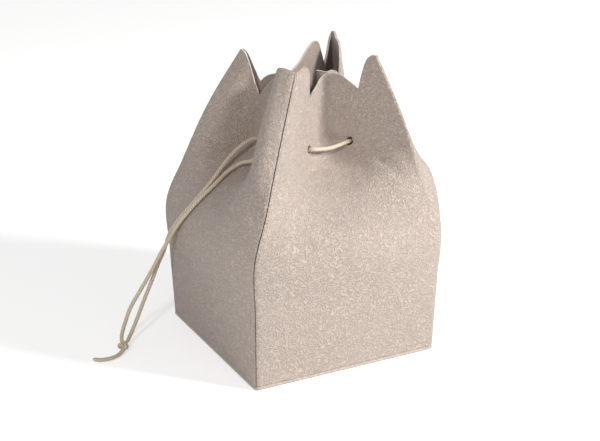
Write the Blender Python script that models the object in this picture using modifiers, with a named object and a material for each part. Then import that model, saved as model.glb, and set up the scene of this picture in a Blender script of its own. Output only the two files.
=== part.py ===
"""Drawstring cosmetic pouch: a square-based suede bag with a scalloped rim, gathered by a cord.

Metres, +Z up. The base rests on z = 0 and its middle is the origin. The wall's seam is at the
corner (-X, -Y). Run with blender --background --python part.py, or from the text editor.
"""
import bpy
import numpy as np
from mathutils import Vector

# Driving sizes, in metres
SIDE = 0.100            # outer side of the square base
PANEL = 0.157           # height of the flat wall strip, floor edge to scallop tops
CLOTH = 0.0011          # thickness of the suede wall
BASE_THICK = 0.0022     # thickness of the base panel
BASE_CORNER = 0.0020    # rounding of the base panel's corners
SCALLOP_DEPTH = 0.015   # how far the notches lie under the scallop tops
HOLE_UP = 0.121         # height of the cord holes along the strip
NECK_DROP = 0.004       # the wall is narrowest this far under the holes
HOLE_D = 0.0042         # punched hole
CORD_D = 0.0020         # drawcord
SEAM_GAP = 0.0004       # half the groove where the strip's two ends meet
CREASE = 0.0020         # reach of the rounding along a fold
CLEAR = 0.0003          # gap kept between touching pieces
KNOT_D = 0.0062         # thickness of the overhand knot

FACES = 4
SCALLOPS_PER_FACE = 2
HOLE_SPOTS = (1 / 3, 2 / 3)   # shares of a face where its two holes are punched
COLUMNS_PER_FACE = 24
ROWS = 21

# The gathered wall. Each row is a line drawn up the cloth at one place round the strip, along = sides
# from the seam. Each pair is where that line stands in plan, x and y as shares of SIDE, at the levels
# below. Between rows and levels the wall is a smooth curve, and its height follows from the cloth's
# length, so what is drawn in also sinks; lift scales that height, above 1 where the cloth is stretched.
LEVELS = {"foot": 0.0, "belly": 0.24, "shoulder": 0.40, "waist": 0.56,
          "neck": (HOLE_UP - NECK_DROP) / PANEL, "rim": 1.0}
FOLDS = [
    # along, lift, shoulder x, y   waist x, y        neck x, y         rim x, y
    (0.00, 1.005, (-0.500, -0.508), (-0.430, -0.500), (-0.295, -0.355), (-0.130, -0.210)),
    (0.12, 1.030, (-0.385, -0.530), (-0.315, -0.450), (-0.190, -0.290), (-0.045, -0.165)),
    (0.25, 1.030, (-0.255, -0.540), (-0.195, -0.400), (-0.095, -0.190), (0.010, -0.130)),
    (0.50, 1.060, (0.000, -0.555), (0.030, -0.365), (0.100, -0.085), (0.125, -0.050)),
    (0.75, 1.020, (0.260, -0.545), (0.240, -0.400), (0.265, -0.180), (0.215, -0.150)),
    (0.88, 0.990, (0.385, -0.530), (0.350, -0.435), (0.335, -0.285), (0.245, -0.205)),
    (1.00, 0.975, (0.505, -0.505), (0.450, -0.450), (0.385, -0.385), (0.270, -0.270)),
    (1.12, 0.980, (0.575, -0.390), (0.545, -0.350), (0.400, -0.275), (0.290, -0.180)),
    (1.25, 0.985, (0.590, -0.255), (0.575, -0.235), (0.350, -0.160), (0.270, -0.070)),
    (1.50, 1.000, (0.580, 0.000), (0.500, -0.005), (0.195, -0.010), (0.110, 0.035)),
    (1.75, 0.955, (0.565, 0.255), (0.500, 0.220), (0.335, 0.160), (0.255, 0.080)),
    (2.00, 0.968, (0.508, 0.508), (0.490, 0.450), (0.455, 0.365), (0.315, 0.210)),
    (2.12, 0.955, (0.385, 0.545), (0.385, 0.475), (0.395, 0.400), (0.350, 0.330)),
    (2.25, 0.955, (0.255, 0.555), (0.240, 0.450), (0.285, 0.330), (0.275, 0.255)),
    (2.50, 1.015, (0.000, 0.560), (0.020, 0.410), (0.090, 0.220), (0.170, 0.215)),
    (2.62, 1.000, (-0.125, 0.555), (-0.110, 0.405), (-0.020, 0.180), (0.010, 0.110)),
    (2.75, 0.985, (-0.255, 0.550), (-0.230, 0.420), (-0.130, 0.265), (-0.115, 0.180)),
    (2.88, 0.985, (-0.385, 0.535), (-0.345, 0.455), (-0.255, 0.330), (-0.175, 0.205)),
    (3.00, 0.988, (-0.512, 0.512), (-0.445, 0.445), (-0.364, 0.364), (-0.214, 0.214)),
    (3.12, 1.000, (-0.550, 0.385), (-0.470, 0.330), (-0.310, 0.265), (-0.205, 0.150)),
    (3.25, 1.025, (-0.560, 0.255), (-0.425, 0.225), (-0.155, 0.245), (-0.155, 0.115)),
    (3.50, 1.040, (-0.560, 0.000), (-0.385, 0.000), (-0.090, 0.030), (-0.070, 0.050)),
    (3.75, 1.030, (-0.555, -0.255), (-0.460, -0.265), (-0.275, -0.140), (-0.130, -0.050)),
    (3.88, 1.020, (-0.535, -0.385), (-0.465, -0.385), (-0.350, -0.250), (-0.165, -0.120)),
    (4.00, 1.005, (-0.500, -0.508), (-0.430, -0.500), (-0.297, -0.353), (-0.135, -0.205)),
]
SHARP_FOLDS = (0.0, 1.0, 2.0, 3.0, 4.0)   # corners of the base, where the cloth is creased

# The drawcord. Inside the wall it follows the holes; its two free ends leave the last and the first
# hole, lie over the side -X and fall to the knot on the floor. Points in metres, chosen by hand.
CORD_REACH = 0.0028     # how far the cord runs straight on each side of a hole
CORD_DROOP = 0.0012     # sag of the cord between two holes
CORD_STEP = 0.0024      # length of a piece of the threaded cord's tube
END_STEP = 0.0042       # the same along the free ends
KNOT_PLACE = (-0.0899, 0.0198, 0.0030)
UPPER_ROUTE = [(-0.0195, 0.0168, 0.1020), (-0.0275, 0.0162, 0.0980), (-0.0349, 0.0139, 0.0930),
               (-0.0427, 0.0110, 0.0868), (-0.0510, 0.0103, 0.0792), (-0.0569, 0.0140, 0.0710),
               (-0.0595, 0.0215, 0.0620), (-0.0602, 0.0283, 0.0540), (-0.0618, 0.0306, 0.0460),
               (-0.0648, 0.0308, 0.0400), (-0.0692, 0.0302, 0.0310), (-0.0748, 0.0298, 0.0195),
               (-0.0791, 0.0285, 0.0115), (-0.0838, 0.0260, 0.0050), (-0.0871, 0.0225, 0.0032)]
LOWER_ROUTE = [(-0.0254, 0.0005, 0.0975), (-0.0278, 0.0106, 0.0930), (-0.0349, 0.0105, 0.0898),
               (-0.0429, 0.0079, 0.0855), (-0.0514, 0.0078, 0.0791), (-0.0579, 0.0115, 0.0704),
               (-0.0602, 0.0192, 0.0610), (-0.0612, 0.0258, 0.0530), (-0.0646, 0.0284, 0.0455),
               (-0.0690, 0.0282, 0.0385), (-0.0769, 0.0286, 0.0265), (-0.0817, 0.0295, 0.0185),
               (-0.0850, 0.0286, 0.0120), (-0.0882, 0.0256, 0.0072), (-0.0896, 0.0230, 0.0055)]
TAIL_ROUTE = [(-0.0917, 0.0168, 0.0020), (-0.0950, 0.0145, 0.0013), (-0.0992, 0.0134, 0.0011),
              (-0.1045, 0.0142, 0.0011), (-0.1072, 0.0166, 0.0011)]


def slopes(knots, values, broken):
    """Slope of a smooth curve at each knot: the mean of its two spans, one-sided where it is broken."""
    span = np.diff(values, axis=0) / np.diff(knots).reshape(-1, *([1] * (values.ndim - 1)))
    after = np.concatenate([span, span[-1:]])
    before = np.concatenate([span[:1], span])
    mean = 0.5 * (after + before)
    for k in broken:
        after[k] = 1.5 * after[k] - 0.5 * mean[k + 1] if k + 1 < len(knots) else after[k]
        before[k] = 1.5 * before[k] - 0.5 * mean[k - 1] if k > 0 else before[k]
    into, out = mean.copy(), mean.copy()
    for k in broken:
        into[k], out[k] = before[k], after[k]
    return into, out


def smooth_curve(knots, values, where, broken=()):
    """Cubic Hermite curve through values at knots, read at the places in where."""
    knots, values, where = np.asarray(knots, float), np.asarray(values, float), np.asarray(where, float)
    into, out = slopes(knots, values, broken)
    k = np.clip(np.searchsorted(knots, where, side="right") - 1, 0, len(knots) - 2)
    width = knots[k + 1] - knots[k]
    shape = (-1,) + (1,) * (values.ndim - 1)
    u = np.clip((where - knots[k]) / width, 0, 1).reshape(shape)
    width = width.reshape(shape)
    return ((1 + 2 * u) * (1 - u) ** 2 * values[k] + u * (1 - u) ** 2 * width * out[k]
            + u * u * (3 - 2 * u) * values[k + 1] + u * u * (u - 1) * width * into[k + 1])


def around(along):
    """The same places with any step past the seam carried on round the strip."""
    return np.where((along < 0) | (along > FACES), np.mod(along, FACES), along)


def square_plan(along):
    """Plan of the base square at each place round the strip, in shares of SIDE."""
    corners = np.array([(-0.5, -0.5), (0.5, -0.5), (0.5, 0.5), (-0.5, 0.5), (-0.5, -0.5)])
    corners = corners * (SIDE - CLOTH) / SIDE
    return np.stack([np.interp(along, range(5), corners[:, i]) for i in (0, 1)], -1)


def plan_lines(along):
    """Plan of the wall at every level for each place in along: levels x places x 2, in metres."""
    knots = [row[0] for row in FOLDS]
    broken = [k for k, a in enumerate(knots) if a in SHARP_FOLDS]
    table = np.array([row[2:] for row in FOLDS])
    upper = [smooth_curve(knots, table[:, i], along, broken) for i in range(table.shape[1])]
    foot = square_plan(along)
    belly = 0.35 * foot + 0.65 * upper[0]
    return np.stack([foot, belly] + upper) * SIDE


def wall_middle(along, up):
    """Middle of the cloth at every place of along (sides) and share of PANEL in up: places x ups x 3.

    Folds are rounded by averaging the plan over CREASE to each side. The height is the cloth's own
    length less what it spends on moving in plan.
    """
    steps = 120
    levels = np.array(list(LEVELS.values()))
    heights = np.linspace(0, 1, steps + 1)
    plan = 0
    offsets = np.linspace(-1, 1, 5) * CREASE / SIDE
    for offset in offsets:
        lines = plan_lines(around(along + offset))
        plan = plan + smooth_curve(levels, lines, heights) / len(offsets)
    run = np.linalg.norm(np.diff(plan, axis=0), axis=-1)
    cloth = PANEL / steps
    rise = np.sqrt(np.maximum(cloth ** 2 - run ** 2, (0.3 * cloth) ** 2))
    lift = smooth_curve([row[0] for row in FOLDS], [row[1] for row in FOLDS], along)
    z = np.concatenate([np.zeros((1, len(along))), np.cumsum(rise, axis=0)]) * lift + BASE_THICK + CLEAR
    fine = np.concatenate([plan, z[..., None]], -1)
    spot = np.clip(np.asarray(up), 0, 1) * steps
    low = np.minimum(spot.astype(int), steps - 1)
    share = (spot - low)[..., None]
    column = np.arange(len(along))[:, None]
    return fine[low, column] * (1 - share) + fine[low + 1, column] * share


def wall_normal(along, up):
    """Outward unit normal of the wall at each place."""
    reach = 0.008
    east = wall_middle(around(along + reach), up) - wall_middle(around(along - reach), up)
    north = wall_middle(along, up + reach) - wall_middle(along, up - reach)
    out = np.cross(east, north)
    return out / np.linalg.norm(out, axis=-1, keepdims=True)


def rim_height(along):
    """Share of PANEL at which the scalloped rim ends: circular arcs, tops on corners and mid faces."""
    half = SIDE / SCALLOPS_PER_FACE / 2
    radius = (half ** 2 + SCALLOP_DEPTH ** 2) / (2 * SCALLOP_DEPTH)
    width = 2 * half
    away = np.abs((along * SIDE + half) % width - half)
    return 1 - (radius - np.sqrt(radius ** 2 - away ** 2)) / PANEL


def strip_columns():
    """Places round the strip that carry a column of vertices, closer together at the folds."""
    share = np.linspace(0, 1, COLUMNS_PER_FACE + 1)
    eased = share - 0.55 * np.sin(2 * np.pi * share) / (2 * np.pi)
    places = np.concatenate([face + eased[:-1] for face in range(FACES)] + [[float(FACES)]])
    notches = (np.arange(FACES * SCALLOPS_PER_FACE) + 0.5) / SCALLOPS_PER_FACE
    for notch in notches:
        places[np.argmin(np.abs(places - notch))] = notch
    places[0] += SEAM_GAP / SIDE
    places[-1] -= SEAM_GAP / SIDE
    return places


def new_object(name, mesh_or_curve, group):
    """Link a new object for the data into the collection."""
    obj = bpy.data.objects.new(name, mesh_or_curve)
    group.objects.link(obj)
    return obj


def make_material(name, colour, roughness):
    """Principled material with a plain colour."""
    material = bpy.data.materials.new(name)
    material.use_nodes = True
    shader = material.node_tree.nodes["Principled BSDF"]
    shader.inputs["Base Color"].default_value = (*colour, 1)
    shader.inputs["Roughness"].default_value = roughness
    shader.inputs["Metallic"].default_value = 0.0
    material.diffuse_color = (*colour, 1)
    return material


def sheet_solid(name, outer, inner, group):
    """Closed solid between two grids of points, both columns x rows x 3."""
    columns, rows = outer.shape[:2]
    points = np.concatenate([outer.reshape(-1, 3), inner.reshape(-1, 3)])
    number = np.arange(columns * rows).reshape(columns, rows)
    a, b, c, d = number[:-1, :-1], number[1:, :-1], number[1:, 1:], number[:-1, 1:]
    front = np.stack([a, b, c, d], -1).reshape(-1, 4)
    back = front[:, ::-1] + columns * rows
    rim = np.concatenate([number[:, 0], number[-1, 1:], number[-2::-1, -1], number[0, -2:0:-1]])
    ahead = np.roll(rim, -1)
    edge = np.stack([ahead, rim, rim + columns * rows, ahead + columns * rows], -1)
    mesh = bpy.data.meshes.new(name)
    mesh.from_pydata(points.tolist(), [], np.concatenate([front, back, edge]).tolist())
    mesh.update()
    return new_object(name, mesh, group)


def build_wall(group, cutters):
    """The strip of suede, gathered by its folds, with its punched holes."""
    along = strip_columns()
    up = np.linspace(0, 1, ROWS + 1)[None, :] * rim_height(along)[:, None]
    middle = wall_middle(along, up)
    normal = wall_normal(along, up)
    wall = sheet_solid("wall_panel", middle + normal * CLOTH / 2, middle - normal * CLOTH / 2, group)
    for number, (centre, out) in enumerate(hole_places()):
        bpy.ops.mesh.primitive_cylinder_add(vertices=12, radius=HOLE_D / 2, depth=8 * CLOTH, location=centre)
        cutter = bpy.context.object
        cutter.name = f"hole_cutter_{number + 1}"
        cutter.rotation_euler = Vector(out).to_track_quat("Z", "Y").to_euler()
        cutter.display_type = "WIRE"
        cutter.hide_render = True
        for other in cutter.users_collection:
            other.objects.unlink(cutter)
        cutters.objects.link(cutter)
        cut = wall.modifiers.new(f"hole_{number + 1}", "BOOLEAN")
        cut.operation = "DIFFERENCE"
        cut.solver = "EXACT"
        cut.object = cutter
    return wall


def hole_places():
    """Middle and outward direction of each punched hole, round the strip from the seam."""
    along = np.array([face + spot for face in range(FACES) for spot in HOLE_SPOTS])
    up = np.full((len(along), 1), HOLE_UP / PANEL)
    return list(zip(wall_middle(along, up)[:, 0], wall_normal(along, up)[:, 0]))


def build_base(group):
    """The flat base panel under the wall."""
    bpy.ops.mesh.primitive_cube_add(size=1, location=(0, 0, BASE_THICK / 2))
    base = bpy.context.object
    base.name = "base_panel"
    base.scale = (SIDE, SIDE, BASE_THICK)
    bpy.ops.object.transform_apply(location=False, rotation=False, scale=True)
    for other in base.users_collection:
        other.objects.unlink(base)
    group.objects.link(base)
    upright = [e for e in base.data.edges
               if abs(base.data.vertices[e.vertices[0]].co.z - base.data.vertices[e.vertices[1]].co.z) > BASE_THICK / 2]
    weights = base.data.attributes.new("bevel_weight_edge", "FLOAT", "EDGE")
    for edge in upright:
        weights.data[edge.index].value = 1.0
    bevel = base.modifiers.new("corners", "BEVEL")
    bevel.limit_method = "WEIGHT"
    bevel.width = BASE_CORNER
    bevel.segments = 4
    return base


def route_curve(points, step):
    """Points about one step apart on a smooth curve through the route."""
    points = np.array([tuple(p) for p in points])
    stretch = np.concatenate([[0], np.cumsum(np.linalg.norm(np.diff(points, axis=0), axis=1))])
    count = max(2, round(stretch[-1] / step) + 1)
    return smooth_curve(stretch, points, np.linspace(0, stretch[-1], count))


def cord_tube(name, points, group):
    """Round cord along the points, as a mesh."""
    curve = bpy.data.curves.new(name + "_line", "CURVE")
    curve.dimensions = "3D"
    curve.bevel_depth = CORD_D / 2
    curve.bevel_resolution = 2
    curve.use_fill_caps = True
    line = curve.splines.new("POLY")
    line.points.add(len(points) - 1)
    line.points.foreach_set("co", np.c_[points, np.ones(len(points))].ravel())
    source = new_object(name + "_line", curve, group)
    mesh = bpy.data.meshes.new_from_object(source.evaluated_get(bpy.context.evaluated_depsgraph_get()))
    bpy.data.objects.remove(source)
    return new_object(name, mesh, group)


def threaded_points(holes):
    """Route of the cord inside the wall: out over the middle of three faces, in round every corner."""
    order = [holes[-1]] + holes[:-1]
    route = []
    for number, (centre, out) in enumerate(order):
        inside, outside = centre - out * CORD_REACH, centre + out * CORD_REACH
        if number == 0:
            route.append(centre + out * CLOTH)
            route.append(inside)
        elif number == len(order) - 1:
            route.append(inside)
            route.append(centre + out * CLOTH)
        elif number % 2:
            after = order[number + 1]
            far = after[0] + after[1] * CORD_REACH
            droop = np.array([0, 0, -CORD_DROOP])
            route.extend([inside, outside, (outside + far) / 2 + droop])
        else:
            route.extend([outside, inside])
    return route


def build_cord(group):
    """The threaded stretch, the two free ends, their knot and its tail."""
    holes = hole_places()
    pieces = [cord_tube("drawcord_threaded", route_curve(threaded_points(holes), CORD_STEP), group)]
    for name, (centre, out), route in (("drawcord_end_upper", holes[-2], UPPER_ROUTE),
                                       ("drawcord_end_lower", holes[-1], LOWER_ROUTE)):
        start = centre + out * (CLOTH + 1.5 * CLEAR)
        away = centre + out * CORD_REACH
        pieces.append(cord_tube(name, route_curve([start, away] + route, END_STEP), group))
    pieces.append(cord_tube("drawcord_tail", route_curve(TAIL_ROUTE, END_STEP / 2), group))
    bpy.ops.mesh.primitive_uv_sphere_add(segments=16, ring_count=8, radius=KNOT_D / 2, location=KNOT_PLACE)
    knot = bpy.context.object
    knot.name = "cord_knot"
    knot.scale = (1, 1, 0.85)
    for other in knot.users_collection:
        other.objects.unlink(knot)
    group.objects.link(knot)
    return pieces + [knot]


def main():
    for obj in list(bpy.data.objects):
        bpy.data.objects.remove(obj, do_unlink=True)
    group = bpy.data.collections.new("cosmetic_pouch")
    cutters = bpy.data.collections.new("cutters")
    bpy.context.scene.collection.children.link(group)
    bpy.context.scene.collection.children.link(cutters)
    suede = make_material("suede", (0.58, 0.49, 0.42), 0.95)
    wall = build_wall(group, cutters)
    wall.data.materials.append(suede)
    base = build_base(group)
    base.data.materials.append(make_material("suede_base", (0.56, 0.47, 0.40), 0.95))
    cord = make_material("cord", (0.80, 0.72, 0.60), 0.6)
    for piece in build_cord(group):
        piece.data.materials.append(cord)


main()
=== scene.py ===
# %% [markdown]
# # A gathered suede pouch
#
# The pouch is one strip of suede, 400 by 157 mm, wrapped round a square base and drawn in by a cord.
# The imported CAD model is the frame, and each piece below stands in the place of one of its nodes. Only
# the lower end of the cord replaces two: there its last centimetres are a tail of their own.

import math

import bpy
import numpy as np
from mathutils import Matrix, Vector


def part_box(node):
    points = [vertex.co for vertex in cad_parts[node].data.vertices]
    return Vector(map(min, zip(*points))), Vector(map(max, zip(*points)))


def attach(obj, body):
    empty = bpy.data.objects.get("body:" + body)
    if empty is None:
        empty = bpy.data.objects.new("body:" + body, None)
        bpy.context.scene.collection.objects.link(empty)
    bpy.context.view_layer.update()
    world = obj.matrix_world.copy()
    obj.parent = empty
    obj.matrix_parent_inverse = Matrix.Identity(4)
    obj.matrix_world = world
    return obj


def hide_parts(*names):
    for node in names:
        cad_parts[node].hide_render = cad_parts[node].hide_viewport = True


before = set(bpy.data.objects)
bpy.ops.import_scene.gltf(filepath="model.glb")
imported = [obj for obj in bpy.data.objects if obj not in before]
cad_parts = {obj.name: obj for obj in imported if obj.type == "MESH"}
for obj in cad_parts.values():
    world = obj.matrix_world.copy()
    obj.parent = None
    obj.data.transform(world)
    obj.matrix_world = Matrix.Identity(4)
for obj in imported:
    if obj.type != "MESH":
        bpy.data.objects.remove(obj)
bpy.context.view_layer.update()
print("nodes:", sorted(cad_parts))

# %% [markdown]
# ## Sizes
#
# The base panel is measured from the frame. The other sizes are the cut pieces' own, in metres.

# %%
low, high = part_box("base_panel")
SIDE = high.x - low.x          # outer side of the base
BASE_THICK = high.z            # thickness of the base panel
PANEL = 0.157                  # height of the flat strip
CLOTH = 0.0011                 # thickness of the suede
SCALLOP_DEPTH = 0.015          # notches under the scallop tops
HOLE_UP = 0.121                # cord holes above the strip's lower edge
NECK_DROP = 0.004              # the narrowest level under the holes
HOLE_D = 0.0042                # diameter of the punched holes
CORD_D = 0.0020                # diameter of the cord
SEAM_GAP = 0.0003              # half the groove at the seam, a little less than the CAD's 0.4 mm
CREASE = 0.0020                # reach of the rounding along a fold
CLEAR = 0.0003                 # gap left between the wall and what it touches
KNOT_PLACE = (-0.0899, 0.0198, 0.0030)
FACES = 4
HOLE_SPOTS = (1 / 3, 2 / 3)    # places of the holes along a side, as shares of it
SHARP_ANGLE = math.radians(50)  # edges bent further than this are shaded sharp
print(f"base {SIDE * 1000:.1f} mm, panel thickness {BASE_THICK * 1000:.1f} mm")

# %% [markdown]
# ## Camera
#
# The lens and the viewpoint come from fitting a pinhole camera to the square base in the photograph.

# %%
LENS = 85.0
VIEWPOINT = Vector((-0.30729, -0.59062, 0.31859))
AIM = Vector((-0.00011, 0.00006, 0.06142))


def add_camera():
    """Camera at the viewpoint, turned so that its axis meets the aim."""
    data = bpy.data.cameras.new("camera")
    data.lens = LENS
    data.sensor_width = 36.0
    data.clip_end = 50.0
    camera = bpy.data.objects.new("camera", data)
    camera.location = VIEWPOINT
    camera.rotation_euler = (AIM - VIEWPOINT).to_track_quat("-Z", "Y").to_euler()
    bpy.context.scene.collection.objects.link(camera)
    bpy.context.scene.camera = camera


add_camera()
print("camera", LENS, "mm at", tuple(round(v, 3) for v in VIEWPOINT))

# %% [markdown]
# ## Smooth curves
#
# Everything here is read off cubic Hermite curves: through the fold table, and along the cord's route.
# At a crease the slope may differ on its two sides.


# %%
def slopes(knots, values, broken):
    """Slope at each knot: the mean of its two spans, one-sided where the curve is broken."""
    span = np.diff(values, axis=0) / np.diff(knots).reshape(-1, *([1] * (values.ndim - 1)))
    after = np.concatenate([span, span[-1:]])
    before = np.concatenate([span[:1], span])
    mean = 0.5 * (after + before)
    for k in broken:
        after[k] = 1.5 * after[k] - 0.5 * mean[k + 1] if k + 1 < len(knots) else after[k]
        before[k] = 1.5 * before[k] - 0.5 * mean[k - 1] if k > 0 else before[k]
    into, out = mean.copy(), mean.copy()
    for k in broken:
        into[k], out[k] = before[k], after[k]
    return into, out


def smooth_curve(knots, values, where, broken=()):
    """Cubic through values at knots: start and end weighted by the Hermite blend, plus the slopes."""
    knots, values, where = (np.asarray(x, float) for x in (knots, values, where))
    into, out = slopes(knots, values, broken)
    k = np.clip(np.searchsorted(knots, where, side="right") - 1, 0, len(knots) - 2)
    width = knots[k + 1] - knots[k]
    shape = (-1,) + (1,) * (values.ndim - 1)
    u = np.clip((where - knots[k]) / width, 0, 1).reshape(shape)
    width = width.reshape(shape)
    return ((1 + 2 * u) * (1 - u) ** 2 * values[k] + u * (1 - u) ** 2 * width * out[k]
            + u * u * (3 - 2 * u) * values[k + 1] + u * u * (u - 1) * width * into[k + 1])


def route_curve(points, step):
    """Points about one step apart on a smooth curve through the route."""
    points = np.array([tuple(p) for p in points])
    stretch = np.concatenate([[0], np.cumsum(np.linalg.norm(np.diff(points, axis=0), axis=1))])
    count = max(2, round(stretch[-1] / step) + 1)
    return smooth_curve(stretch, points, np.linspace(0, stretch[-1], count))


# %% [markdown]
# ## The gathered wall
#
# Each row of the table is a line drawn up the cloth, `along` sides round from the seam. Its pairs are
# that line's place in plan, as shares of the side, at four levels. The height isn't in the table: cloth
# doesn't stretch, so what a line spends on moving sideways it loses in height. `lift` then scales that
# height by a few per cent, to meet the rim in the photograph.

# %%
LEVELS = {"foot": 0.0, "belly": 0.24, "shoulder": 0.40, "waist": 0.56,
          "neck": (HOLE_UP - NECK_DROP) / PANEL, "rim": 1.0}
FOLDS = [
    # along, lift, shoulder x, y   waist x, y        neck x, y         rim x, y
    (0.00, 1.005, (-0.500, -0.508), (-0.430, -0.500), (-0.295, -0.355), (-0.130, -0.210)),
    (0.12, 1.030, (-0.385, -0.530), (-0.315, -0.450), (-0.190, -0.290), (-0.045, -0.165)),
    (0.25, 1.030, (-0.255, -0.540), (-0.195, -0.400), (-0.095, -0.190), (0.010, -0.130)),
    (0.50, 1.060, (0.000, -0.555), (0.030, -0.365), (0.100, -0.085), (0.125, -0.050)),
    (0.75, 1.020, (0.260, -0.545), (0.240, -0.400), (0.265, -0.180), (0.215, -0.150)),
    (0.88, 0.990, (0.385, -0.530), (0.350, -0.435), (0.335, -0.285), (0.245, -0.205)),
    (1.00, 0.975, (0.505, -0.505), (0.450, -0.450), (0.385, -0.385), (0.270, -0.270)),
    (1.12, 0.980, (0.575, -0.390), (0.545, -0.350), (0.400, -0.275), (0.290, -0.180)),
    (1.25, 0.985, (0.590, -0.255), (0.575, -0.235), (0.350, -0.160), (0.270, -0.070)),
    (1.50, 1.000, (0.580, 0.000), (0.500, -0.005), (0.195, -0.010), (0.110, 0.035)),
    (1.75, 0.955, (0.565, 0.255), (0.500, 0.220), (0.335, 0.160), (0.255, 0.080)),
    (2.00, 0.968, (0.508, 0.508), (0.490, 0.450), (0.455, 0.365), (0.315, 0.210)),
    (2.12, 0.955, (0.385, 0.545), (0.385, 0.475), (0.395, 0.400), (0.350, 0.330)),
    (2.25, 0.955, (0.255, 0.555), (0.240, 0.450), (0.285, 0.330), (0.275, 0.255)),
    (2.50, 1.015, (0.000, 0.560), (0.020, 0.410), (0.090, 0.220), (0.170, 0.215)),
    (2.62, 1.000, (-0.125, 0.555), (-0.110, 0.405), (-0.020, 0.180), (0.010, 0.110)),
    (2.75, 0.985, (-0.255, 0.550), (-0.230, 0.420), (-0.130, 0.265), (-0.115, 0.180)),
    (2.88, 0.985, (-0.385, 0.535), (-0.345, 0.455), (-0.255, 0.330), (-0.175, 0.205)),
    (3.00, 0.988, (-0.512, 0.512), (-0.445, 0.445), (-0.364, 0.364), (-0.214, 0.214)),
    (3.12, 1.000, (-0.550, 0.385), (-0.470, 0.330), (-0.310, 0.265), (-0.205, 0.150)),
    (3.25, 1.025, (-0.560, 0.255), (-0.425, 0.225), (-0.155, 0.245), (-0.155, 0.115)),
    (3.50, 1.040, (-0.560, 0.000), (-0.385, 0.000), (-0.090, 0.030), (-0.070, 0.050)),
    (3.75, 1.030, (-0.555, -0.255), (-0.460, -0.265), (-0.275, -0.140), (-0.130, -0.050)),
    (3.88, 1.020, (-0.535, -0.385), (-0.465, -0.385), (-0.350, -0.250), (-0.165, -0.120)),
    (4.00, 1.005, (-0.500, -0.508), (-0.430, -0.500), (-0.297, -0.353), (-0.135, -0.205)),
]
SHARP_FOLDS = (0.0, 1.0, 2.0, 3.0, 4.0)
BELLY_SHARE = 0.65             # how far the belly has left the square foot for the shoulder's line
LEAST_RISE = 0.3               # share of its length that every bit of cloth keeps as height
STEPS_UP = 120                 # steps in which the height is summed
NORMAL_REACH = 0.008           # step of the differences that give the normal, in sides and heights


def around(along):
    """The same places with any step past the seam carried on round the strip."""
    return np.where((along < 0) | (along > FACES), np.mod(along, FACES), along)


def plan_lines(along):
    """Plan of the wall at every level: the square foot, a belly between, and the table's levels."""
    knots = [row[0] for row in FOLDS]
    broken = [k for k, a in enumerate(knots) if a in SHARP_FOLDS]
    table = np.array([row[2:] for row in FOLDS])
    upper = [smooth_curve(knots, table[:, i], along, broken) for i in range(table.shape[1])]
    corners = np.array([(-0.5, -0.5), (0.5, -0.5), (0.5, 0.5), (-0.5, 0.5), (-0.5, -0.5)])
    corners = corners * (SIDE - CLOTH) / SIDE
    foot = np.stack([np.interp(along, range(5), corners[:, i]) for i in (0, 1)], -1)
    belly = (1 - BELLY_SHARE) * foot + BELLY_SHARE * upper[0]
    return np.stack([foot, belly] + upper) * SIDE


def wall_middle(along, up):
    """Middle of the cloth: height is the sum of sqrt(cloth squared less sideways run squared), times lift."""
    levels = np.array(list(LEVELS.values()))
    heights = np.linspace(0, 1, STEPS_UP + 1)
    offsets = np.linspace(-1, 1, 5) * CREASE / SIDE
    plan = sum(smooth_curve(levels, plan_lines(around(along + o)), heights) for o in offsets) / len(offsets)
    run = np.linalg.norm(np.diff(plan, axis=0), axis=-1)
    cloth = PANEL / STEPS_UP
    rise = np.sqrt(np.maximum(cloth ** 2 - run ** 2, (LEAST_RISE * cloth) ** 2))
    lift = smooth_curve([row[0] for row in FOLDS], [row[1] for row in FOLDS], along)
    z = np.concatenate([np.zeros((1, len(along))), np.cumsum(rise, axis=0)]) * lift + BASE_THICK + CLEAR
    fine = np.concatenate([plan, z[..., None]], -1)
    spot = np.clip(np.asarray(up), 0, 1) * STEPS_UP
    below = np.minimum(spot.astype(int), STEPS_UP - 1)
    share = (spot - below)[..., None]
    column = np.arange(len(along))[:, None]
    return fine[below, column] * (1 - share) + fine[below + 1, column] * share


def wall_normal(along, up):
    """Outward unit normal: the cross product of a step round the strip and a step up it."""
    step = NORMAL_REACH
    east = wall_middle(around(along + step), up) - wall_middle(around(along - step), up)
    north = wall_middle(along, up + step) - wall_middle(along, up - step)
    out = np.cross(east, north)
    return out / np.linalg.norm(out, axis=-1, keepdims=True)


def rim_height(along):
    """Scalloped upper edge: circular arcs half a side wide, their tops on the corners and mid faces."""
    half = SIDE / 4
    radius = (half ** 2 + SCALLOP_DEPTH ** 2) / (2 * SCALLOP_DEPTH)
    away = np.abs((along * SIDE + half) % (2 * half) - half)
    return 1 - (radius - np.sqrt(radius ** 2 - away ** 2)) / PANEL


# %% [markdown]
# ## Soft creases
#
# The drawn-in suede also has shallow creases that run down from the holes. Each row is one: where it
# starts and ends on the cloth, how wide it is and how deep. Positive depth is a dent.

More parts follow.
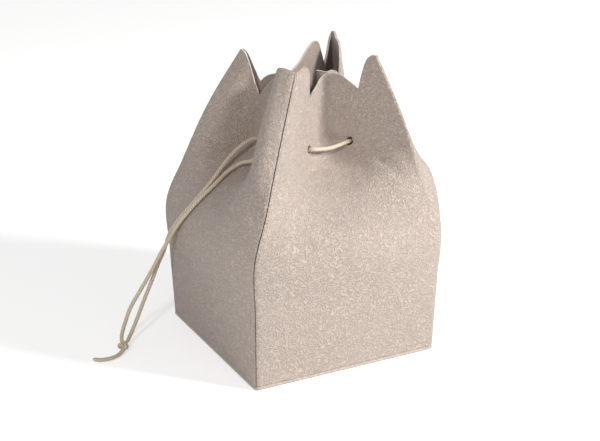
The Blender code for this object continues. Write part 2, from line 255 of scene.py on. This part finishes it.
# %%
CREASES = [
    # along 1, up 1, along 2, up 2, width mm, depth mm
    (0.74, 0.84, 0.80, 0.66, 2.4, 0.55),
    (0.80, 0.66, 0.93, 0.55, 2.8, 0.50),
    (0.36, 0.74, 0.30, 0.56, 3.2, 0.35),
    (0.62, 0.74, 0.60, 0.58, 3.4, 0.30),
    (0.50, 0.72, 0.47, 0.60, 4.0, -0.35),
    (0.16, 0.80, 0.12, 0.52, 3.0, 0.25),
    (3.62, 0.74, 3.66, 0.52, 3.0, 0.45),
    (3.36, 0.74, 3.30, 0.54, 3.2, 0.40),
    (3.18, 0.86, 3.12, 0.60, 3.0, 0.25),
    (1.34, 0.76, 1.28, 0.56, 3.0, 0.45),
    (1.66, 0.76, 1.72, 0.56, 3.0, 0.40),
    (2.34, 0.76, 2.30, 0.58, 3.0, 0.40),
    (2.66, 0.76, 2.72, 0.58, 3.0, 0.40),
    (2.50, 0.70, 2.52, 0.52, 4.0, -0.35),
]
WAVE_HEIGHT = 0.00010
WAVES = [
    # share of the height, cycles per side, cycles up the strip, start
    (1.0, 3, 1.3, 0.0),
    (0.7, 7, -2.1, 1.0),
    (0.5, 11, 3.3, 2.0),
]


def crease_depth(along, up):
    """Dent of the wall: each crease is a Gaussian across its line, fading smoothly at its two ends."""
    x, y = along * SIDE, up * PANEL
    depth = np.zeros(np.broadcast(x, y).shape)
    for a1, u1, a2, u2, width, amount in CREASES:
        start = np.array([a1 * SIDE, u1 * PANEL])
        line = np.array([a2 * SIDE, u2 * PANEL]) - start
        t = ((x - start[0]) * line[0] + (y - start[1]) * line[1]) / (line @ line)
        off = np.hypot(x - start[0] - t.clip(0, 1) * line[0], y - start[1] - t.clip(0, 1) * line[1])
        depth += amount / 1000 * np.exp(-(off / (width / 1000)) ** 2)
    return depth


def slow_waves(along, up):
    """Hand-cut unevenness of the suede: a few long sine waves that fade towards the base."""
    x, y = 2 * np.pi * along, 2 * np.pi * up
    wave = sum(share * np.sin(sideways * x + upward * y + start) for share, sideways, upward, start in WAVES)
    fade = 0.35 + 0.65 * np.clip(up * 1.6 - 0.3, 0, 1)
    return WAVE_HEIGHT * wave * fade


# %% [markdown]
# ## Materials
#
# Suede has a worm-like nap about 1 mm across. Its texture runs on the flat strip's own coordinates in
# metres, so it is the same size on every fold. Scales are cycles per metre, reliefs are metres.

# %%
NAP_SCALE = 620
NAP_RELIEF = 0.00048
FIBRE_SCALE = 2600
FIBRE_RELIEF = 0.00012
PATCH_SCALE = 26
PATCH_SHARE = 0.45             # how much a brushed patch takes of its own colour
PATCH_DARKER = 0.90
PLY_SCALE = 520
PLY_RELIEF = 0.00018
FUZZ_SCALE = 1800
FUZZ_RELIEF = 0.0001


def new_material(name):
    """Empty material with a Principled shader: the material, its nodes, a link function and the shader."""
    material = bpy.data.materials.new(name)
    material.use_nodes = True
    nodes = material.node_tree.nodes
    return material, nodes, material.node_tree.links.new, nodes["Principled BSDF"]


def mix_colours(nodes, link, factor, first, second):
    """Node that mixes two colours by the factor socket."""
    mix = nodes.new("ShaderNodeMix")
    mix.data_type = "RGBA"
    link(factor, mix.inputs["Factor"])
    for socket, colour in ((mix.inputs[6], first), (mix.inputs[7], second)):
        if hasattr(colour, "is_output"):
            link(colour, socket)
        else:
            socket.default_value = (*colour, 1)
    return mix.outputs[2]


def noise(nodes, link, coordinates, scale, detail=2.0, distortion=0.0, roughness=0.5):
    """Noise texture on the coordinates, scale in cycles per metre."""
    texture = nodes.new("ShaderNodeTexNoise")
    texture.inputs["Scale"].default_value = scale
    texture.inputs["Detail"].default_value = detail
    texture.inputs["Distortion"].default_value = distortion
    texture.inputs["Roughness"].default_value = roughness
    link(coordinates, texture.inputs["Vector"])
    return texture.outputs["Fac"]


def spread(nodes, link, value, low_end, high_end, top=1.0):
    """Value stretched so that low_end becomes 0 and high_end the top."""
    ramp = nodes.new("ShaderNodeMapRange")
    ramp.inputs["From Min"].default_value = low_end
    ramp.inputs["From Max"].default_value = high_end
    ramp.inputs["To Max"].default_value = top
    link(value, ramp.inputs["Value"])
    return ramp.outputs["Result"]


def bump(nodes, link, height, strength, relief, under=None):
    """Normal of a surface raised by the height socket, on top of an earlier normal if there is one."""
    node = nodes.new("ShaderNodeBump")
    node.inputs["Strength"].default_value = strength
    node.inputs["Distance"].default_value = relief
    link(height, node.inputs["Height"])
    if under is not None:
        link(under, node.inputs["Normal"])
    return node.outputs["Normal"]


def suede(name, dark, light, nap=1.0):
    """Suede: worm-like nap in colour and bump, with slow patches where the nap lies another way."""
    material, nodes, link, shader = new_material(name)
    place = nodes.new("ShaderNodeUVMap")
    place.uv_map = "cloth"
    flat = place.outputs["UV"]
    worms = spread(nodes, link, noise(nodes, link, flat, NAP_SCALE, 1.5, 1.9), 0.36, 0.64)
    fibres = noise(nodes, link, flat, FIBRE_SCALE, 3.0, 0.6, 0.65)
    patches = spread(nodes, link, noise(nodes, link, flat, PATCH_SCALE, 3.0, 0.8), 0.35, 0.65, PATCH_SHARE)
    grain = mix_colours(nodes, link, worms, dark, light)
    brushed = tuple(c * PATCH_DARKER for c in light)
    link(mix_colours(nodes, link, patches, grain, brushed), shader.inputs["Base Color"])
    shader.inputs["Roughness"].default_value = 0.95
    shader.inputs["Specular IOR Level"].default_value = 0.15
    shader.inputs["Sheen Weight"].default_value = 0.25
    shader.inputs["Sheen Roughness"].default_value = 0.45
    coarse = bump(nodes, link, worms, 0.80 * nap, NAP_RELIEF)
    link(bump(nodes, link, fibres, 0.35 * nap, FIBRE_RELIEF, coarse), shader.inputs["Normal"])
    return material


def waxed_cord():
    """Cream braided cord: crossing diagonal plies in bump, and painted shade in the grooves between them."""
    material, nodes, link, shader = new_material("waxed_cord")
    place = nodes.new("ShaderNodeUVMap")
    place.uv_map = "cord"
    plies = nodes.new("ShaderNodeTexWave")
    plies.wave_type = "BANDS"
    plies.bands_direction = "DIAGONAL"
    plies.inputs["Scale"].default_value = PLY_SCALE
    plies.inputs["Distortion"].default_value = 0.6
    link(place.outputs["UV"], plies.inputs["Vector"])
    fuzz = noise(nodes, link, place.outputs["UV"], FUZZ_SCALE, 3.0)
    # The ply bands also set the colour, dark in the grooves and light on the crowns: painted shade between
    # the plies.
    link(mix_colours(nodes, link, plies.outputs["Fac"], (0.56, 0.44, 0.31), (0.86, 0.77, 0.64)),
         shader.inputs["Base Color"])
    shader.inputs["Roughness"].default_value = 0.55
    shader.inputs["Sheen Weight"].default_value = 0.15
    braid = bump(nodes, link, plies.outputs["Fac"], 0.6, PLY_RELIEF)
    link(bump(nodes, link, fuzz, 0.2, FUZZ_RELIEF, braid), shader.inputs["Normal"])
    return material


OUTER = suede("suede_outer", (0.440, 0.362, 0.312), (0.610, 0.518, 0.458))
# The inner face is the outer suede at about three quarters of its brightness: painted shade for the inside of
# the pouch.
INNER_SHADED = suede("suede_inner_painted_shade", (0.330, 0.268, 0.230), (0.450, 0.378, 0.330), 0.6)
EDGE = suede("suede_cut_edge", (0.620, 0.545, 0.480), (0.780, 0.705, 0.635), 0.4)
BASE = suede("suede_base_panel", (0.520, 0.440, 0.390), (0.680, 0.590, 0.530))
CORD = waxed_cord()
print("materials:", [m.name for m in (OUTER, INNER_SHADED, EDGE, BASE, CORD)])


# %% [markdown]
# ## Meshes from grids


# %%
def mesh_piece(name, points, faces, corner_uvs, uv_name, materials, slots=None):
    """Smooth mesh object: points, faces as lists of point numbers, one UV per face corner, slot per face."""
    mesh = bpy.data.meshes.new(name)
    mesh.from_pydata(points.tolist(), [], faces)
    layer = mesh.uv_layers.new(name=uv_name)
    layer.data.foreach_set("uv", np.ascontiguousarray(corner_uvs, np.float32).ravel())
    for material in materials:
        mesh.materials.append(material)
    if slots is not None:
        mesh.polygons.foreach_set("material_index", slots)
    mesh.polygons.foreach_set("use_smooth", np.full(len(faces), True))
    mesh.update()
    piece = bpy.data.objects.new(name, mesh)
    bpy.context.scene.collection.objects.link(piece)
    return piece


def grid_quads(columns, rows):
    """Vertex numbers of the quads of a columns x rows grid."""
    number = np.arange(columns * rows).reshape(columns, rows)
    quads = np.stack([number[:-1, :-1], number[1:, :-1], number[1:, 1:], number[:-1, 1:]], -1)
    return quads.reshape(-1, 4)


# %% [markdown]
# ## The wall
#
# Two grids, the outer and the inner face of the suede, joined by the cut edge along the rim, the foot and
# the seam and round the holes.

# %%
COLUMNS_PER_FACE = 88
ROWS = 118
EASING = 0.45                  # 0 spaces the columns evenly, 1 crowds them at the folds
HOLE_REACH = 0.01              # step, in sides, over which the gathering is measured at a hole


def strip_columns():
    """Places round the strip, closer together at the folds, with one on every notch."""
    share = np.linspace(0, 1, COLUMNS_PER_FACE + 1)
    eased = share - EASING * np.sin(2 * np.pi * share) / (2 * np.pi)
    places = np.concatenate([face + eased[:-1] for face in range(FACES)] + [[float(FACES)]])
    for notch in (np.arange(FACES * 2) + 0.5) / 2:
        places[np.argmin(np.abs(places - notch))] = notch
    places[0] += SEAM_GAP / SIDE
    places[-1] -= SEAM_GAP / SIDE
    return places


def holes_on_strip():
    """Each hole's place on the flat strip: sides round from the seam, and share of the height."""
    along = np.array([face + spot for face in range(FACES) for spot in HOLE_SPOTS])
    return along, np.full((len(along), 1), HOLE_UP / PANEL)


def hole_places():
    """Middle and outward direction of each punched hole, round the strip from the seam."""
    along, up = holes_on_strip()
    return list(zip(wall_middle(along, up)[:, 0], wall_normal(along, up)[:, 0]))


def punch_holes(flat, front):
    """Quads left round the holes. Those whose middle lies under a hole's radius go, and the ring of
    points that this leaves is moved out to the radius, measured on the gathered cloth."""
    along, up = holes_on_strip()
    centres = np.stack([along * SIDE, np.full(len(along), HOLE_UP)], -1)
    across = wall_middle(along + HOLE_REACH, up) - wall_middle(along - HOLE_REACH, up)
    narrowed = np.linalg.norm(across[:, 0], axis=-1) / (2 * HOLE_REACH * SIDE)
    drawn_in = np.stack([narrowed, np.ones(len(along))], -1)

    def offset(places):
        away = (places[:, None] - centres) * drawn_in
        nearest = np.argmin(np.linalg.norm(away, axis=-1), axis=1)
        return away[np.arange(len(places)), nearest], nearest

    away = offset(flat[front].mean(axis=1))[0]
    under = np.linalg.norm(away, axis=-1) < HOLE_D / 2
    ring = np.intersect1d(front[~under], front[under])
    away, nearest = offset(flat[ring])
    away *= HOLE_D / 2 / np.linalg.norm(away, axis=-1, keepdims=True)
    flat[ring] = centres[nearest] + away / drawn_in[nearest]
    return front[~under], ring


def surface(along, up):
    """Middle of the cloth with its creases pressed in, and its outward normal."""
    normal = wall_normal(along, up)
    dent = crease_depth(along[:, None], up) - slow_waves(along[:, None], up)
    return wall_middle(along, up) - normal * dent[..., None], normal


def build_wall():
    """Outer and inner grid, half the cloth to each side, joined along every open edge."""
    along = strip_columns()
    up = np.linspace(0, 1, ROWS + 1)[None, :] * rim_height(along)[:, None]
    middle, normal = (part.reshape(-1, 3) for part in surface(along, up))
    flat = np.stack([np.broadcast_to(along[:, None] * SIDE, up.shape), up * PANEL], -1).reshape(-1, 2)
    count = len(flat)
    front, ring = punch_holes(flat, grid_quads(*up.shape))
    ring_middle, ring_normal = surface(flat[ring, 0] / SIDE, flat[ring, 1:] / PANEL)
    middle[ring], normal[ring] = ring_middle[:, 0], ring_normal[:, 0]
    start, end = front.ravel(), np.roll(front, -1, axis=1).ravel()
    open_edge = ~np.isin(start * count + end, end * count + start)
    start, end = start[open_edge], end[open_edge]
    edge = np.stack([end, start, start + count, end + count], -1)
    faces = np.concatenate([front, front[:, ::-1] + count, edge])
    slots = np.repeat([0, 1, 2], [len(front), len(front), len(edge)])
    points = np.concatenate([middle + normal * CLOTH / 2, middle - normal * CLOTH / 2])
    uv = np.concatenate([flat, flat])
    wall = mesh_piece("suede_wall", points, faces.tolist(), uv[faces.ravel()], "cloth",
                      [OUTER, INNER_SHADED, EDGE], slots)
    wall.data.set_sharp_from_angle(angle=SHARP_ANGLE)
    return wall


wall = build_wall()
print("wall faces:", len(wall.data.polygons))

# %% [markdown]
# ## The base panel
#
# A flat square with rounded corners, its edge rolled a little between the floor and the wall's seam.

# %%
BASE_CORNER = 0.0020
BASE_PROFILE = [
    # inset share of the thickness, height share of the thickness
    (6.0, 0.00), (1.0, 0.00), (0.30, 0.06), (0.06, 0.28), (0.00, 0.55),
    (0.10, 0.82), (0.40, 0.98), (1.2, 1.00), (6.0, 1.00),
]
LEAST_CORNER = 0.0006          # the smallest radius that a drawn-in corner keeps


def rounded_square(inset):
    """Outline of the square drawn in by the inset, with its four corners as arcs."""
    half = SIDE / 2 - inset
    radius = max(BASE_CORNER - inset * 0.3, LEAST_CORNER)
    turn = np.radians(np.arange(0, 91, 15))
    arc = radius * np.stack([np.cos(turn), np.sin(turn)], -1) + half - radius
    sides = [arc @ np.array([[math.cos(q), math.sin(q)], [-math.sin(q), math.cos(q)]])
             for q in np.radians([0, 90, 180, 270])]
    return np.concatenate(sides)


def build_base():
    """Loops of the outline at every place of the profile, closed by two flat faces. The texture is laid
    on in plan, slanted so that it doesn't smear down the edge."""
    loops = []
    for inset, height in BASE_PROFILE:
        outline = rounded_square(inset * BASE_THICK)
        loops.append(np.c_[outline, np.full(len(outline), height * BASE_THICK)])
    points = np.concatenate(loops)
    count = len(outline)
    top = len(points) - count
    ring = np.arange(count)
    ahead = np.roll(ring, -1)
    band = np.stack([ring, ahead, ahead + count, ring + count], -1)
    bands = np.concatenate([band + k * count for k in range(len(loops) - 1)])
    faces = bands.tolist() + [ring[::-1].tolist(), (ring + top).tolist()]
    corners = points[np.concatenate([bands.ravel(), ring[::-1], ring + top])]
    uv = corners[:, :2] + corners[:, 2:] * [0.7, 0.3]
    base = mesh_piece("suede_base", points, faces, uv, "cloth", [BASE])
    base.data.set_sharp_from_angle(angle=SHARP_ANGLE)
    return base


base = build_base()
print("base faces:", len(base.data.polygons))

# %% [markdown]
# ## The cord
#
# One drawcord. Its held stretch follows the holes. Its two free ends leave the last and the first hole,
# lie over one side and fall to a knot on the floor. The route's points are the part's own.

# %%
CORD_REACH = 0.0028            # the cord's middle from the middle of the suede beside a hole
CORD_DROOP = 0.0012            # sag of an outside run between its two holes
CORD_SIDES = 20
STEP = 0.0006                  # distance between the rings of the cord's mesh
PLIES = 3
PLY_GROOVE = 0.07              # depth of the grooves between plies, as a share of the radius
PLY_NARROW = 8                 # power that keeps the grooves narrow
PLY_PITCH = 0.009              # length along the cord in which the ply angle turns once
UPPER_ROUTE = [(-0.0195, 0.0168, 0.1020), (-0.0275, 0.0162, 0.0980), (-0.0349, 0.0139, 0.0930),
               (-0.0427, 0.0110, 0.0868), (-0.0510, 0.0103, 0.0792), (-0.0569, 0.0140, 0.0710),
               (-0.0595, 0.0215, 0.0620), (-0.0602, 0.0283, 0.0540), (-0.0618, 0.0306, 0.0460),
               (-0.0648, 0.0308, 0.0400), (-0.0692, 0.0302, 0.0310), (-0.0748, 0.0298, 0.0195),
               (-0.0791, 0.0285, 0.0115), (-0.0838, 0.0260, 0.0050), (-0.0871, 0.0225, 0.0032)]
LOWER_ROUTE = [(-0.0254, 0.0005, 0.0975), (-0.0278, 0.0106, 0.0930), (-0.0349, 0.0105, 0.0898),
               (-0.0429, 0.0079, 0.0855), (-0.0514, 0.0078, 0.0791), (-0.0579, 0.0115, 0.0704),
               (-0.0602, 0.0192, 0.0610), (-0.0612, 0.0258, 0.0530), (-0.0646, 0.0284, 0.0455),
               (-0.0690, 0.0282, 0.0385), (-0.0769, 0.0286, 0.0265), (-0.0817, 0.0295, 0.0185),
               (-0.0850, 0.0286, 0.0120), (-0.0882, 0.0256, 0.0072), (-0.0896, 0.0230, 0.0055)]
TAIL_ROUTE = [(-0.0917, 0.0168, 0.0020), (-0.0950, 0.0145, 0.0013), (-0.0992, 0.0134, 0.0011),
              (-0.1045, 0.0142, 0.0011), (-0.1072, 0.0166, 0.0011)]


def threaded_route(holes):
    """Route inside the wall: out over the middle of three faces, in round every corner."""
    order = [holes[-1]] + holes[:-1]
    route = []
    for number, (centre, out) in enumerate(order):
        inside, outside = centre - out * CORD_REACH, centre + out * CORD_REACH
        if number == 0:
            route += [centre + out * CLOTH, inside]
        elif number == len(order) - 1:
            route += [inside, centre + out * CLOTH]
        elif number % 2:
            after = order[number + 1]
            far = after[0] + after[1] * CORD_REACH
            route += [inside, outside, (outside + far) / 2 - np.array([0, 0, CORD_DROOP])]
        else:
            route += [outside, inside]
    return route


def frames_along(path):
    """Directions across a path, carried along it without twist by small rotations."""
    ahead = np.gradient(path, axis=0)
    ahead /= np.linalg.norm(ahead, axis=1, keepdims=True)
    side = np.cross(ahead[0], (0.0, 0.0, 1.0) if abs(ahead[0][2]) < 0.9 else (1.0, 0.0, 0.0))
    sides = []
    for direction in ahead:
        side = side - direction * (side @ direction)
        side = side / np.linalg.norm(side)
        sides.append(side)
    sides = np.array(sides)
    return sides, np.cross(ahead, sides)


def cord_piece(name, path):
    """Round cord swept along the path, with domed ends. Its radius is the cord's, less the groove times
    the eighth power of the ply angle's cosine."""
    turn = np.linspace(0, 2 * np.pi, CORD_SIDES, endpoint=False)
    length = np.concatenate([[0], np.cumsum(np.linalg.norm(np.diff(path, axis=0), axis=1))])
    sides, ups = frames_along(path)
    ply_angle = PLIES / 2 * turn[None, :] - 2 * np.pi * length[:, None] / PLY_PITCH
    groove = PLY_GROOVE * np.cos(ply_angle) ** PLY_NARROW
    dome = np.sqrt(np.clip(np.minimum(length, length[-1] - length) / (CORD_D / 2), 0.15, 1))
    radius = CORD_D / 2 * (1 - groove) * dome[:, None]
    across = np.cos(turn)[None, :, None] * sides[:, None] + np.sin(turn)[None, :, None] * ups[:, None]
    points = (path[:, None] + radius[..., None] * across).reshape(-1, 3)
    ring, place = np.arange(CORD_SIDES), np.arange(len(path) - 1)[:, None]
    near, ahead = place * CORD_SIDES + ring, place * CORD_SIDES + (ring + 1) % CORD_SIDES
    quads = np.stack([near, near + CORD_SIDES, ahead + CORD_SIDES, ahead], -1).reshape(-1, 4)
    tread = CORD_D / 2 * 2 * np.pi / CORD_SIDES
    u = np.stack(np.broadcast_arrays(length[place], length[place + 1], length[place + 1], length[place]), -1)
    u = np.broadcast_to(u, (len(path) - 1, CORD_SIDES, 4))
    v = np.broadcast_to(np.stack([ring, ring, ring + 1, ring + 1], -1) * tread, u.shape)
    body_uv = np.stack([u, v], -1).reshape(-1, 2)
    caps = [ring.tolist(), (ring[::-1] + (len(path) - 1) * CORD_SIDES).tolist()]
    cap_uv = np.stack([np.cos(turn), np.sin(turn)], -1) * CORD_D / 2
    uv = np.concatenate([body_uv, cap_uv, cap_uv])
    return mesh_piece(name, points, quads.tolist() + caps, uv, "cord", [CORD])


holes = hole_places()
threaded = cord_piece("cord_threaded", route_curve(threaded_route(holes), STEP))


def free_end(hole):
    """First points of a free end: just outside its hole, then straight out."""
    centre, out = hole
    return [centre + out * (CLOTH + 1.5 * CLEAR), centre + out * CORD_REACH]


upper_path = route_curve(free_end(holes[-2]) + UPPER_ROUTE, STEP)
lower_path = route_curve(free_end(holes[-1]) + LOWER_ROUTE + [KNOT_PLACE] + TAIL_ROUTE, STEP)
upper = cord_piece("cord_upper_end", upper_path)
lower = cord_piece("cord_lower_end", lower_path)


def path_length(path):
    """Length of a path of points."""
    return float(np.linalg.norm(np.diff(path, axis=0), axis=1).sum())


print("free ends:", round(path_length(upper_path), 3), round(path_length(lower_path), 3), "m")

# %% [markdown]
# ## The knot
#
# A trefoil is a closed overhand knot, so a small flat trefoil of the same cord stands for it.

# %%
KNOT_REACH = 0.00068           # a third of the trefoil's outer radius
KNOT_RISE = 0.00105            # how far its middle line rises and falls
KNOT_POINTS = 241


def trefoil():
    """Middle line of the knot: x = sin t + 2 sin 2t, y = cos t - 2 cos 2t, height = -sin 3t."""
    t = np.linspace(0, 2 * np.pi, KNOT_POINTS)
    return np.stack([KNOT_REACH * (np.sin(t) + 2 * np.sin(2 * t)),
                     KNOT_REACH * (np.cos(t) - 2 * np.cos(2 * t)),
                     -KNOT_RISE * np.sin(3 * t)], -1) + np.array(KNOT_PLACE)


knot = cord_piece("cord_knot_turns", trefoil())

# %% [markdown]
# ## What stands for what
#
# Every piece rides on the pouch's one body and replaces its CAD node or nodes.

# %%
STANDS_FOR = [
    (wall, "suede", ["wall_panel"]),
    (base, "suede_base", ["base_panel"]),
    (threaded, "cord", ["drawcord_threaded"]),
    (upper, "cord", ["drawcord_end_upper"]),
    (lower, "cord", ["drawcord_end_lower", "drawcord_tail"]),
    (knot, "cord", ["cord_knot"]),
]
for piece, slot, nodes in STANDS_FOR:
    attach(piece, "root")
    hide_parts(*nodes)

# %% [markdown]
# ## Light and floor
#
# A white room, and a floor that the camera sees a little brighter than it is lit, as an overexposed
# sweep looks. That glow lights nothing. The key light stands in front of the right corner, about 28
# degrees up, where it throws the right petal's shadow on the scallop beside it. The second, weaker,
# stands in front on the left and fills the left side.

# %%
FLOOR_GLOW = 0.46
FLOOR_REACH = 4.0
ROOM_LIGHT = 0.36
LIT_POINT = Vector((0, 0, 0.08))                       # middle of the pouch, where both lights aim
KEY_WAY = Vector((0.59, -0.65, 0.46)).normalized()     # from there to the key light
KEY_AWAY = 1.2
SIDE_WAY = Vector((-0.62, -0.62, 0.46)).normalized()   # to the light in front on the left
SIDE_AWAY = 1.1


def area_light(name, way, away, size, power, colour):
    """Square area light that stands away from the lit point along the way, and faces it."""
    place = LIT_POINT + way * away
    data = bpy.data.lights.new(name, "AREA")
    data.size = size
    data.energy = power
    data.color = colour
    light = bpy.data.objects.new(name, data)
    light.location = place
    light.rotation_euler = (LIT_POINT - place).to_track_quat("-Z", "Y").to_euler()
    bpy.context.scene.collection.objects.link(light)


def add_floor():
    """Large plain white floor."""
    mesh = bpy.data.meshes.new("floor")
    corners = [(-1, -1), (1, -1), (1, 1), (-1, 1)]
    mesh.from_pydata([(x * FLOOR_REACH, y * FLOOR_REACH, 0) for x, y in corners], [], [(0, 1, 2, 3)])
    floor = bpy.data.objects.new("floor", mesh)
    bpy.context.scene.collection.objects.link(floor)
    material, nodes, link, shader = new_material("white_floor")
    shader.inputs["Base Color"].default_value = (0.93, 0.93, 0.93, 1)
    shader.inputs["Roughness"].default_value = 0.9
    shader.inputs["Emission Color"].default_value = (FLOOR_GLOW, FLOOR_GLOW, FLOOR_GLOW, 1)
    seen = nodes.new("ShaderNodeLightPath")
    link(seen.outputs["Is Camera Ray"], shader.inputs["Emission Strength"])
    mesh.materials.append(material)


add_floor()
world = bpy.data.worlds.new("white_room")
bpy.context.scene.world = world
world.use_nodes = True
world.node_tree.nodes["Background"].inputs["Color"].default_value = (1, 1, 1, 1)
world.node_tree.nodes["Background"].inputs["Strength"].default_value = ROOM_LIGHT
area_light("key", KEY_WAY, KEY_AWAY, size=0.20, power=14.0, colour=(1.0, 0.985, 0.97))
area_light("side", SIDE_WAY, SIDE_AWAY, size=0.10, power=3.0, colour=(1.0, 0.99, 0.98))
bpy.context.scene.view_settings.view_transform = "Standard"
